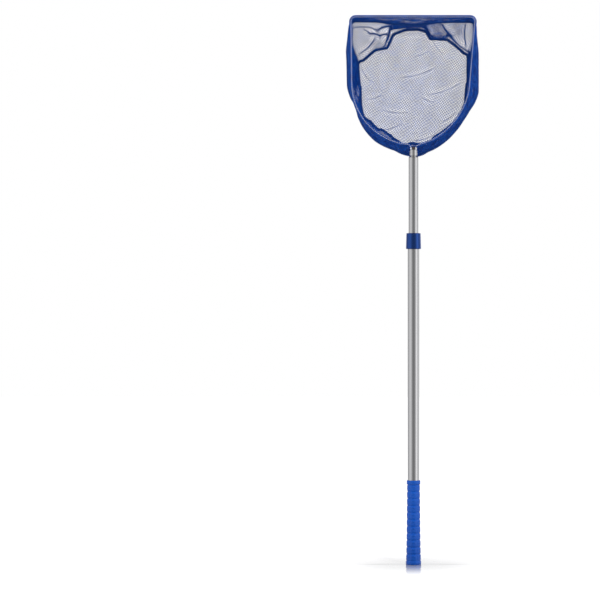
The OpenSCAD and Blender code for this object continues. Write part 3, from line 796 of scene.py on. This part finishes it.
# ---------------------------------------------------------------- turned pieces
def turned(name, profile, closed=True, steps=96, carve=None, sharp=32):
    """A profile of (r, z) points, anticlockwise, spun round the pole's axis.
    carve gives how far a point is sunk, from its profile index and angle."""
    n = len(profile)
    points = []
    for i in range(steps):
        a = 2 * math.pi * i / steps
        for k, (r, z) in enumerate(profile):
            r = r - (carve(k, a) if carve else 0)
            points.append((r * math.cos(a), r * math.sin(a), z))
    faces = [(i * n + k, j * n + k, j * n + m, i * n + m)
             for i, j in pairs(steps, True) for k, m in pairs(n, closed)]
    return cleaned(mesh_object(name, points, faces), sharp)


def cleaned(thing, sharp=32):
    """Doubles merged, normals outwards, and smooth shading up to the sharp angle."""
    work = bmesh.new()
    work.from_mesh(thing.data)
    bmesh.ops.remove_doubles(work, verts=work.verts, dist=0.001 * MM)
    bmesh.ops.dissolve_degenerate(work, edges=work.edges, dist=0.001 * MM)
    bmesh.ops.recalc_face_normals(work, faces=work.faces)
    work.to_mesh(thing.data)
    work.free()
    thing.data.polygons.foreach_set("use_smooth", [True] * len(thing.data.polygons))
    thing.data.set_sharp_from_angle(angle=math.radians(sharp))
    return thing


def rounded(corners, radii, steps=4):
    """A profile with its corners rounded, each by its own radius."""
    points = []
    count = len(corners)
    for i, radius in enumerate(radii):
        here, last, following = (Vector(corners[j % count]) for j in (i, i - 1, i + 1))
        if radius == 0:
            points.append(tuple(here))
            continue
        a, b = (last - here).normalized(), (following - here).normalized()
        reach = radius / math.tan(a.angle(b) / 2)
        start, end = here + a * reach, here + b * reach
        for s in range(steps + 1):
            t = s / steps
            points.append(tuple(start * (1 - t) ** 2 + here * 2 * t * (1 - t) + end * t * t))
    return points


def lower_tube():
    low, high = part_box("outer_tube")
    r, bore, edge = high.x, high.x - TUBE_WALL, 0.25 * MM
    corners = ((bore, low.z), (r, low.z), (r, high.z), (bore, high.z))
    return turned("lower_tube", rounded(corners, (edge,) * 4, 3))


def upper_tube():
    """The upper tube, drawn in at its top to the neck that grips the hoop's legs."""
    low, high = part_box("inner_tube")
    bore, neck_bore = UPPER_R - UPPER_WALL, NECK_R - NECK_WALL
    shoulder = high.z - NECK_LEN - NECK_TAPER
    outside, inside = [], []
    for i in range(13):
        s = i / 12
        drawn = s * s * (3 - 2 * s)
        z = shoulder + NECK_TAPER * s
        outside.append((UPPER_R + (NECK_R - UPPER_R) * drawn, z))
        inside.append((bore + (neck_bore - bore) * drawn, z - 0.2 * MM))
    # Two faint grooves where the neck is pressed onto its plug
    press = [(NECK_R - 0.16 * MM * math.sin(math.pi * i / 6) ** 2, high.z - NECK_LEN * 0.62 + 0.35 * MM * i)
             for i in range(7)]
    profile = [(bore, low.z), (UPPER_R, low.z)] + outside + press
    profile += [(NECK_R, high.z - 0.3 * MM), (NECK_R - 0.12 * MM, high.z - 0.08 * MM)]
    profile += [(NECK_R - 0.3 * MM, high.z), (neck_bore, high.z)] + inside[::-1]
    return turned("upper_tube", profile)


def collar():
    low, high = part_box("pole_collar")
    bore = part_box("outer_tube")[1].x + 0.05 * MM
    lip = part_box("guide_bush")[1].z + 0.05 * MM
    foot_r, top_r = high.x, 11.5 * MM
    corners = ((bore, low.z), (foot_r - 0.1 * MM, low.z), (foot_r, low.z + 2.2 * MM), (top_r, high.z),
               (LIP_R, high.z), (LIP_R, lip), (bore, lip))
    edge = 0.5 * MM
    return turned("collar", rounded(corners, (0.2 * MM, COLLAR_BEVEL, edge, 1.0 * MM, edge, 0, 0)))


def grip():
    """The ringed rubber grip, each ring divided into raised slanting pads."""
    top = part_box("handle_grip")[1].z
    pitch, rows = (top - FOOT_H - RIM_H) / GRIP_RINGS, GRIP_ROWS
    profile = [(0, 0), (FOOT_R - 0.9 * MM, 0), (FOOT_R - 0.35 * MM, 0.15 * MM), (FOOT_R, 0.8 * MM)]
    profile += [(FOOT_R, FOOT_H - 1.6 * MM), (FOOT_R - 0.2 * MM, FOOT_H - 0.8 * MM)]
    first = len(profile)
    for i in range(GRIP_RINGS * rows + 1):
        z = FOOT_H + pitch * i / rows
        share = (z - FOOT_H) / (top - FOOT_H - RIM_H)
        r = GRIP_LOW_R + (GRIP_TOP_R - GRIP_LOW_R) * share ** 0.7
        profile.append((r - GRIP_GROOVE * (1 - abs(math.sin(math.pi * i / rows)) ** 0.5), z))
    last = len(profile)
    profile += [(RIM_R - 0.3 * MM, top - RIM_H + 0.1 * MM), (RIM_R, top - RIM_H + 0.5 * MM)]
    profile += [(RIM_R, top - 0.8 * MM), (RIM_R - 0.3 * MM, top - 0.15 * MM), (RIM_R - 0.9 * MM, top)]
    profile += [(GRIP_BORE + 0.3 * MM, top), (GRIP_BORE, top - 0.3 * MM), (GRIP_BORE, FOOT_FLOOR)]
    profile.append((0, FOOT_FLOOR))

    def relief(k, a):
        """How far a point is sunk between the rings and pads, or raised on a pad's lip."""
        if not first < k < last - 1:
            return 0
        ring, level = divmod((k - first) / rows, 1)
        place = (a / (2 * math.pi) * GRIP_PADS + 0.08 * (level - 0.5)) % 1
        groove = math.exp(-(min(level, 1 - level) / 0.1) ** 2)
        notch = math.exp(-(min(place, 1 - place) / 0.07) ** 2) * math.sin(math.pi * level) ** 0.5
        lip = math.exp(-((place - 0.5) / 0.26) ** 4 - ((level - 0.72 + 0.9 * (place - 0.5) ** 2) / 0.12) ** 2)
        return GRIP_DENT * groove + GRIP_NOTCH * notch - GRIP_LIP * lip

    return turned("ringed_grip", profile, closed=False, steps=GRIP_PADS * 24, carve=relief, sharp=50)


def hoop():
    """The wire hoop with its two legs, as one bent rod."""
    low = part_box("hoop_wire")[0].z
    left, right = ([(side * LEG_X, low + (leg_top - low) * i / 6) for i in range(6)] + wire_bend(side)
                   for side in (-1, 1))
    line = left + wire_outline() + right[::-1]
    path = path_object("hoop_path", [(x, 0, z) for x, z in line], False)
    tree = Tree("bent_wire", Radius=WIRE_R)
    tree.finish(tree.tube(tree.path(), 16, tree.input("Radius")), MATERIALS["bright_wire"])
    return cleaned(tree.grow(path, "hoop_rod"))


# ---------------------------------------------------------------- finishes
def finishes():
    made = {}

    def finish(name, colour, roughness, **shader):
        made[name] = Finish(name, Base_Color=rgb(*colour), Roughness=roughness, **shader)
        return made[name]

    # Drawn aluminium tube: fine lines run along it and soften its reflections
    tube = finish("aluminium", (206, 206, 208), 0.3, Metallic=1.0)
    lines = tube.grain(2600, 2.0, (1, 1, 0.001))
    cloud = tube.grain(60, 3.0, (1, 1, 0.12))
    scuffs = tube.grain(900, 4.0, (1, 1, 0.03)).smooth(0.62, 0.78)
    tube.feed(Roughness=0.13 + 0.08 * lines + 0.06 * cloud + 0.10 * scuffs)
    tube.colour(scuffs * 0.35, (206, 206, 208), (178, 178, 182))
    tube.bump(lines, 0.02 * MM, 0.15)

    rubber = finish("grip_rubber", (10, 84, 188), 0.35, Specular_IOR_Level=0.35)
    grain, patch = rubber.grain(2200), rubber.grain(45)
    rubber.colour(patch, (6, 76, 178), (14, 92, 198))
    rubber.feed(Roughness=0.22 + 0.12 * grain + 0.06 * patch)
    rubber.bump(grain, 0.06 * MM, 0.5)

    # Pearled blue plastic: what it mirrors is tinted blue
    shell = finish("collar_plastic", (40, 74, 146), 0.1, Metallic=0.85)
    flow, fine = shell.grain(90, stretch=(1, 1, 0.3)), shell.grain(1800, 2.0)
    shell.colour(flow, (34, 68, 140), (46, 80, 152))
    shell.feed(Roughness=0.06 + 0.06 * flow + 0.04 * fine)
    shell.bump(fine, 0.01 * MM, 0.3)

    wire = finish("bright_wire", (236, 238, 244), 0.3, Metallic=0.3)
    drawn = wire.grain(700)
    wire.feed(Roughness=0.22 + 0.16 * drawn)
    wire.colour(drawn.smooth(0.5, 0.8), (240, 242, 248), (214, 218, 226))
    wire.bump(drawn, 0.02 * MM, 0.3)

    # Twisted yarn of the net: its colour wanders a little, and each thread has a fine lay
    net = finish("blue_net", (14, 70, 160), 0.5, Specular_IOR_Level=0.15)
    lay = net.twist(900, 2.0)
    net.colour(net.grain(110).smooth(0.35, 0.65) * 0.7 + lay * 0.3, (4, 50, 134), (24, 90, 188))
    net.feed(Roughness=0.42 + 0.16 * lay)
    net.bump(lay, 0.05 * MM, 0.5)

    thread = finish("seam_thread", (14, 46, 112), 0.6, Specular_IOR_Level=0.15)
    ply = thread.twist(1300, 3.0)
    thread.colour(thread.grain(120) * 0.6 + ply * 0.4, (12, 46, 112), (44, 90, 172))
    thread.feed(Roughness=0.5 + 0.2 * ply)
    thread.bump(ply, 0.08 * MM, 0.6)

    for name, dark, light, low, scale in (
            ("black_plastic", (24, 24, 27), (38, 38, 42), 0.36, 500),
            ("white_plastic", (214, 213, 206), (230, 229, 223), 0.38, 500),
            ("dark_plug", (58, 48, 44), (88, 76, 68), 0.6, 900)):
        plastic = finish(name, dark, low)
        speck = plastic.grain(scale, 4.0)
        plastic.colour(speck, dark, light)
        plastic.feed(Roughness=low + 0.14 * speck)
        plastic.bump(speck, 0.05 * MM, 0.4)

    zinc = finish("zinc_steel", (200, 198, 186), 0.36, Metallic=1.0)
    spangle = zinc.node("ShaderNodeTexVoronoi", {"feature": "F1"}, output="Distance", Vector=zinc.place(),
                        Scale=1400)
    zinc.colour(spangle, (208, 206, 196), (176, 176, 172))
    zinc.feed(Roughness=0.28 + 0.2 * spangle)
    zinc.bump(spangle, 0.02 * MM, 0.3)
    return {name: finish.material for name, finish in made.items()}


MATERIALS = finishes()


# ---------------------------------------------------------------- the pole dressed
def dressed(piece, material, body, *nodes):
    """Gives a piece its finish and the body it moves with, and hides what it stands for."""
    piece.data.materials.clear()
    piece.data.materials.append(MATERIALS[material])
    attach(piece, body)
    if nodes:
        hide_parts(*nodes)
    return piece


dressed(grip(), "grip_rubber", "root", "handle_grip")
dressed(lower_tube(), "aluminium", "root", "outer_tube")
dressed(collar(), "collar_plastic", "root", "pole_collar")
dressed(upper_tube(), "aluminium", "upper_pole", "inner_tube")
hoop_rod = dressed(hoop(), "bright_wire", "upper_pole", "hoop_wire")

# The pieces inside the pole keep their own shapes
INSIDE = {"tube_end_plug": "black_plastic", "guide_bush": "white_plastic", "cam_ring": "white_plastic",
          "cam_plug": "black_plastic", "cam_washer": "zinc_steel", "cam_screw": "zinc_steel",
          "neck_plug": "dark_plug"}
for name, material in INSIDE.items():
    for slot in bpy.data.objects[name].material_slots:
        slot.material = MATERIALS[material]

# ---------------------------------------------------------------- the bag dressed
cloth = bag_cloth()
cloth = hang(cloth)
cloth = smoothed(cloth)
band_panel = Panel(cloth, BAND, loop_length)
wall_panel = Panel(cloth, WALL, loop_length)
floor_panel = Panel(cloth, FLOOR)
bpy.data.objects.remove(cloth)
threads = thread_tree(MATERIALS["blue_net"])


def net_piece(name, points, edges, **values):
    return threads.grow(mesh_object(name + "_lines", points, edges=edges), name, **values)


def ruffled(height):
    """A shift out of the bag for a layer of the band, zero at both its edges."""
    def shift(u, v):
        share = np.clip((v - HEM_Y) / (RIM_Y - HEM_Y), 0, 1)
        way = outward[int(u % loop_length / loop_length * LOOP) % LOOP]
        turn = 2 * math.pi * u / loop_length
        wave = noise.noise(Vector((9 * math.cos(turn), 9 * math.sin(turn), height / MM + v * 90)))
        size = math.sin(math.pi * share) * (height + RUFFLE * wave)
        return Vector((way[0], 0, way[1])) * size
    return shift


# The band is a doubled strip: its inner layer carries the sleeve round the wire
points, edges = band_panel.net((0, HEM_Y), (0, RIM_Y), ruffled(BAND_LAYERS[0]))
sleeve_points, sleeve_edges = sleeve_net()
edges += [(a + len(points), b + len(points)) for a, b in sleeve_edges]
net_band = net_piece("net_band", points + sleeve_points, edges)
points, edges = band_panel.net((0, HEM_Y), (0, RIM_Y), ruffled(BAND_LAYERS[1]), 0.5)
net_band_back = net_piece("net_band_back", points, edges)

points, edges = wall_panel.net((0, RIM_Y), (0, FLOOR_Y), pitch=WALL_PITCH)
points = creased(points, ROOF_FOLD, 0.85, (RIM_Y, FLOOR_Y))
points = creased(points, WALL_FOLDS, 0.88, (RIM_Y, FLOOR_Y), 4)
net_wall = net_piece("net_wall", points, edges, Thread=WALL_THREAD, Sides=3)

flat_low = [min(p[k] for p in floor_panel.flat) for k in (0, 1)]
flat_high = [max(p[k] for p in floor_panel.flat) for k in (0, 1)]
points, edges = floor_panel.net(flat_low, flat_high, turn=FLOOR_TURN)
points = creased(points, [c + (FLOOR_CREASE_R,) for c in FLOOR_CREASES], 0.6, (0, math.inf))
net_floor = net_piece("net_floor", points, edges)

tape = hem_tape()
winding = seam_tree(MATERIALS["seam_thread"])


def loop_path(name, panel, depth, count=LOOP * 2):
    """A closed path round the bag along a panel's flat depth."""
    places = [panel.place(loop_length * i / count, depth) for i in range(count)]
    return path_object(name, places, True)


def wound(name, path, length, core):
    turns = int(length / WIND_PITCH)
    return winding.grow(path, name, Core=core, Strand=WIND_R * core, Steps=turns * WIND_STEPS)


rim_cord = wound("rim_cord", loop_path("rim_path", band_panel, RIM_Y), loop_length, SEAM_R)
floor_cord = wound("floor_cord", loop_path("floor_path", wall_panel, FLOOR_Y), loop_length, SEAM_R)


def join(name, panel, low, high):
    """The seam down a panel where the two ends of its strip are joined."""
    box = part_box(name + "_seam")
    middle = (box[0].x + box[1].x) / 2
    near = min(range(LOOP * 3 // 4, LOOP), key=lambda i: abs(outline[i][0] - middle))
    places = [panel.place(loop_length * near / LOOP, low + (high - low) * i / 12) for i in range(13)]
    return wound(name, path_object(name + "_path", places, False), high - low, JOIN_R)


band_join = join("band_join", band_panel, HEM_Y, RIM_Y)
wall_join = join("wall_join", wall_panel, RIM_Y, FLOOR_Y)
hem_row = stitch_tree(MATERIALS["seam_thread"]).grow(
    loop_path("hem_path", band_panel, HEM_Y + 0.2 * MM), "hem_stitches",
    Count=int(loop_length / STITCH_PITCH))

for piece, material, nodes in (
        (net_band, "blue_net", ("bag_band", "hem_sleeve")), (net_band_back, "blue_net", ("bag_band",)),
        (net_wall, "blue_net", ("bag_wall",)), (net_floor, "blue_net", ("bag_floor",)),
        (rim_cord, "seam_thread", ("rim_seam",)), (floor_cord, "seam_thread", ("floor_seam",)),
        (band_join, "seam_thread", ("band_join_seam",)), (wall_join, "seam_thread", ("wall_join_seam",)),
        (hem_row, "seam_thread", ("hem_stitch",)), (tape, "seam_thread", ("hem_sleeve",))):
    dressed(piece, material, "upper_pole", *nodes)

floor_edge = [Vector(p) for p in section(FLOOR_Y)[:, [0, 2]]]
floor_size = [b - a for a, b in zip(flat_low, flat_high)]

# ---------------------------------------------------------------- the studio
VIEW_Z, VIEW_DISTANCE, VIEW_WIDTH = 0.423, 3.5, 0.96
POLE_ASIDE = 0.18917        # how far right of the middle the pole stands, as a share of the width
SENSOR = 36
camera = setting(bpy.data.cameras.new("camera"), sensor_width=SENSOR,
                 lens=SENSOR * VIEW_DISTANCE / VIEW_WIDTH, shift_x=-POLE_ASIDE)
viewer = setting(placed("camera", camera), location=(0, -VIEW_DISTANCE, VIEW_Z),
                 rotation_euler=(math.pi / 2, 0, 0))
bpy.context.scene.camera = viewer
bpy.context.scene.view_settings.view_transform = "Standard"


def lamp(name, place, target, width, height, watts):
    light = setting(bpy.data.lights.new(name, "AREA"), shape="RECTANGLE", size=width, size_y=height,
                    energy=watts)
    turn = (Vector(target) - Vector(place)).to_track_quat("-Z", "Y")
    setting(placed(name, light), location=place, rotation_mode="QUATERNION", rotation_quaternion=turn,
            visible_glossy=False)


lamp("left_lamp", (-1.7, -0.2, 0.95), (0, 0, 0.4), 0.5, 1.3, 7)
lamp("right_lamp", (1.7, -0.3, 0.95), (0, 0, 0.4), 0.5, 1.3, 7)
lamp("front_lamp", (-0.3, -2.6, 1.5), (0, 0, 0.5), 1.4, 1.0, 10)
lamp("high_lamp", (0.7, -1.3, 2.0), (0, 0, 0.25), 0.5, 0.5, 14)

# The world: white to the camera, plain to matt surfaces, and to shiny ones a dim studio
# with a pale side on the left and a paler one on the right
world = bpy.data.worlds.new("studio")
bpy.context.scene.world = world
world.use_nodes = True
sky = Shading(world.node_tree)
background = sky.tree.nodes["Background"]
straight, glossy, through = (sky.rays(kind) for kind in ("Camera", "Glossy", "Transmission"))
way = sky.node("ShaderNodeTexCoord", output="Generated")
parts = new_node(sky.tree, "ShaderNodeSeparateXYZ", None, {"Vector": way})
right, back, up = (Val(sky.tree, parts.outputs[k]) for k in range(3))
heading = right.math("ARCTAN2", back * -1.0) * (180 / math.pi)
# What shiny surfaces meet at each heading, in degrees from the camera's side to the right
SHINE = ((-180, 1.0), (-150, 0.9), (-122, 0.4), (-104, 0.55), (-84, 0.8), (-48, 0.82), (-32, 0.5),
         (-14, 0.25), (6, 0.24), (22, 0.3), (34, 0.42), (48, 0.95), (66, 1.3), (82, 0.85), (96, 0.55),
         (110, 0.66), (124, 0.85), (146, 0.95), (180, 1.0))
BRIGHTEST = max(v for _, v in SHINE)
ring = sky.ramp([((a + 180) / 360, v / BRIGHTEST) for a, v in SHINE], (heading + 180) / 360)
dimmed = 0.85 * (up * -1.0).smooth(0.15, 0.8) + 0.45 * up.smooth(0.15, 0.8)
shine = ring * BRIGHTEST * (1.05 - dimmed)
plain = 0.42 + 0.15 * up
level = straight.math("MAXIMUM", through)
strength = level + (1.0 - level) * (glossy * shine + (1.0 - glossy) * plain)
strength.give(background.inputs["Strength"])
background.inputs["Color"].default_value = (1, 1, 1, 1)

# A pale floor that keeps the shadow, with a painted shadow line where the foot meets it, and, round the foot,
# a mirror image that soon fades
ground = mesh_object("floor", [(-6, -6, 0), (6, -6, 0), (6, 6, 0), (-6, 6, 0)], [(0, 1, 2, 3)])
paper = Finish("pale_floor", Base_Color=(0.84, 0.84, 0.85, 1), Roughness=0.9, Specular_IOR_Level=0.0)
spot = paper.node("ShaderNodeTexCoord", output="Object")


def away(scale):
    """Distance from the foot's middle, each direction on its own scale."""
    shrunk = paper.node("ShaderNodeVectorMath", {"operation": "MULTIPLY"}, i0=spot, i1=scale)
    return paper.node("ShaderNodeVectorMath", {"operation": "LENGTH"}, output="Value", i0=shrunk)


PAINTED_SHADOW_SPAN = 0.095, 0.015          # half sizes of the painted shadow line where the foot meets the floor
# The painted shadow line: a dark streak where the floor's glow to the camera is lowered
line = 1.0 - away((1 / PAINTED_SHADOW_SPAN[0], 1 / PAINTED_SHADOW_SPAN[1], 0)).smooth(0.6, 1.05)
distance = away((1, 1, 0))
# The floor's glow to the camera: lower near the foot, and lowered more along the painted shadow line
level = 0.39 - 0.28 * line + 0.3 * distance.smooth(0.05, 0.5)
glow = paper.node("ShaderNodeEmission", Strength=paper.rays("Camera") * level)
lit = paper.node("ShaderNodeAddShader", i0=Val(paper.tree, paper.shader.outputs[0]), i1=glow)
mirror = paper.node("ShaderNodeBsdfGlossy", Roughness=0.05)
near = 1.0 - distance.smooth(0.01, 0.17)
mixed = paper.node("ShaderNodeMixShader", i0=0.85 * near, i1=lit, i2=mirror)
mixed.give(paper.tree.nodes["Material Output"].inputs["Surface"])
ground.data.materials.append(paper.material)
ground.visible_glossy = False
